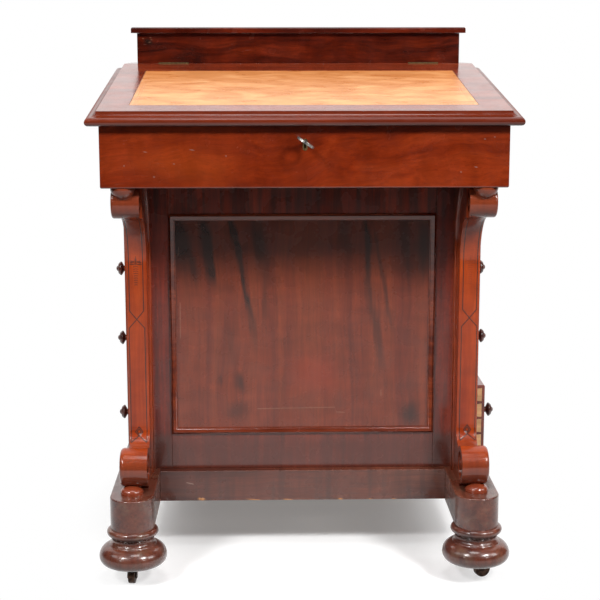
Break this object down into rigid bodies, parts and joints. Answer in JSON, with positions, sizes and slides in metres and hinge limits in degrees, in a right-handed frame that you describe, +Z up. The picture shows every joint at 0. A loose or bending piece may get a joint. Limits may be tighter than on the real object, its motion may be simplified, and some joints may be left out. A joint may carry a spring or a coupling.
{
  "type": "davenport desk",
  "caption": "Small wooden writing desk with a hinged leather-topped slope over a well, a lidded stationery box, side drawers, two scroll trusses and bun feet on castors.",
  "frame": {"origin": "on the floor, at the middle of the desk's bounding box", "axes": "+Z up; +Y to the back; +X to the sitter's right, the side the drawers open to; the sitter faces +Y"},
  "size_m": [0.618, 0.619, 0.8079],
  "materials": {
    "mahogany_case": "French polish, gloss",
    "mahogany_base": "French polish, gloss",
    "mahogany_figured": "French polish, gloss, upright stripe figure",
    "mahogany_moulding": "French polish, gloss",
    "mahogany_truss": "French polish, gloss",
    "mahogany_fronts": "French polish, gloss",
    "mahogany_turned": "worn polish",
    "knob_wood": "dark polish",
    "secondary_wood": "bare pine and cedar",
    "leather": "tan writing leather with a tooled line",
    "brass": "aged brass",
    "castor_wheel": "worn brass",
    "steel": "old steel"
  },
  "bodies": {
    "desk": {"base_board": "secondary_wood", "bun_feet": "mahogany_turned", "case_back": "mahogany_case", "case_bottom": "secondary_wood", "case_front": "mahogany_case", "case_side_left": "mahogany_case", "case_side_right": "mahogany_case", "castor_cups": "brass", "drawer_bearers": "secondary_wood", "dummy_drawer_fronts": "mahogany_fronts", "dummy_knobs": "knob_wood", "escutcheon": "brass", "fixed_top": "mahogany_case", "front_panel": "mahogany_figured", "lid_hinge_fixed": "brass", "lock_case": "brass", "panel_moulding": "mahogany_moulding", "pedestal_back": "mahogany_base", "pedestal_front_frame": "mahogany_base", "pedestal_left_side": "mahogany_base", "pedestal_top": "secondary_wood", "plinth_rail_back": "mahogany_base", "plinth_rail_front": "mahogany_base", "right_face_frame": "mahogany_base", "runner_left": "mahogany_base", "runner_right": "mahogany_base", "slope_hinge_fixed": "brass", "stationery_box_walls": "mahogany_case", "stationery_partitions": "secondary_wood", "truss_left": "mahogany_truss", "truss_right": "mahogany_truss"},
    "slope": {"writing_slope": "mahogany_case", "slope_leather": "leather", "slope_hinge_moving": "brass", "strike_plate": "brass"},
    "box_lid": {"box_lid": "mahogany_case", "lid_hinge_moving": "brass"},
    "lock_key": {"key": "steel"},
    "lock_bolt": {"lock_bolt": "brass"},
    "drawer_1": {"drawer_1_front": "mahogany_fronts", "drawer_1_box": "secondary_wood", "drawer_1_knobs": "knob_wood"},
    "drawer_2": {"drawer_2_front": "mahogany_fronts", "drawer_2_box": "secondary_wood", "drawer_2_knobs": "knob_wood"},
    "drawer_3": {"drawer_3_front": "mahogany_fronts", "drawer_3_box": "secondary_wood", "drawer_3_knobs": "knob_wood"},
    "drawer_4": {"drawer_4_front": "mahogany_fronts", "drawer_4_box": "secondary_wood", "drawer_4_knobs": "knob_wood"},
    "castor_front_left": {"castor_horn_front_left": "brass"},
    "wheel_front_left": {"castor_wheel_front_left": "castor_wheel"},
    "castor_front_right": {"castor_horn_front_right": "brass"},
    "wheel_front_right": {"castor_wheel_front_right": "castor_wheel"},
    "castor_rear_left": {"castor_horn_rear_left": "brass"},
    "wheel_rear_left": {"castor_wheel_rear_left": "castor_wheel"},
    "castor_rear_right": {"castor_horn_rear_right": "brass"},
    "wheel_rear_right": {"castor_wheel_rear_right": "castor_wheel"}
  },
  "joints": [
    {"name": "slope_hinge", "type": "hinge", "parent": "desk", "child": "slope", "pos_m": [0, 0.1388, 0.7488], "axis": [-1, 0, 0], "range_deg": [0, 82]},
    {"name": "lid_hinge", "type": "hinge", "parent": "desk", "child": "box_lid", "pos_m": [0, 0.2705, 0.798], "axis": [-1, 0, 0], "range_deg": [0, 100]},
    {"name": "drawer_1_slide", "type": "slide", "parent": "desk", "child": "drawer_1", "axis": [1, 0, 0], "range_m": [0, 0.38]},
    {"name": "drawer_2_slide", "type": "slide", "parent": "desk", "child": "drawer_2", "axis": [1, 0, 0], "range_m": [-0.001, 0.379]},
    {"name": "drawer_3_slide", "type": "slide", "parent": "desk", "child": "drawer_3", "axis": [1, 0, 0], "range_m": [-0.0045, 0.3755]},
    {"name": "drawer_4_slide", "type": "slide", "parent": "desk", "child": "drawer_4", "axis": [1, 0, 0], "range_m": [-0.019, 0.361]},
    {"name": "key_turn", "type": "hinge", "parent": "desk", "child": "lock_key", "pos_m": [0, -0.272, 0.6475], "axis": [0, 1, 0], "range_deg": [0, 90]},
    {"name": "bolt_throw", "type": "slide", "parent": "desk", "child": "lock_bolt", "axis": [0, 0, 1], "range_m": [0, 0.009]},
    {"name": "castor_swivel_front_left", "type": "hinge", "parent": "desk", "child": "castor_front_left", "pos_m": [-0.2534, -0.2595, 0.036], "axis": [0, 0, 1], "continuous": true},
    {"name": "wheel_spin_front_left", "type": "hinge", "parent": "castor_front_left", "child": "wheel_front_left", "pos_m": [-0.25436, -0.27046, 0.012], "axis": [0.9962, -0.0872, 0], "continuous": true},
    {"name": "castor_swivel_front_right", "type": "hinge", "parent": "desk", "child": "castor_front_right", "pos_m": [0.2534, -0.2595, 0.036], "axis": [0, 0, 1], "continuous": true},
    {"name": "wheel_spin_front_right", "type": "hinge", "parent": "castor_front_right", "child": "wheel_front_right", "pos_m": [0.26374, -0.25574, 0.012], "axis": [-0.342, 0.9397, 0], "continuous": true},
    {"name": "castor_swivel_rear_left", "type": "hinge", "parent": "desk", "child": "castor_rear_left", "pos_m": [-0.2534, 0.2595, 0.036], "axis": [0, 0, 1], "continuous": true},
    {"name": "wheel_spin_rear_left", "type": "hinge", "parent": "castor_rear_left", "child": "wheel_rear_left", "pos_m": [-0.25971, 0.26851, 0.012], "axis": [-0.8192, -0.5736, 0], "continuous": true},
    {"name": "castor_swivel_rear_right", "type": "hinge", "parent": "desk", "child": "castor_rear_right", "pos_m": [0.2534, 0.2595, 0.036], "axis": [0, 0, 1], "continuous": true},
    {"name": "wheel_spin_rear_right", "type": "hinge", "parent": "castor_rear_right", "child": "wheel_rear_right", "pos_m": [0.2589, 0.26903, 0.012], "axis": [-0.866, 0.5, 0], "continuous": true}
  ],
  "couplings": [
    {"joint": "bolt_throw", "follows": "key_turn", "m_per_rad": 0.0057}
  ]
}
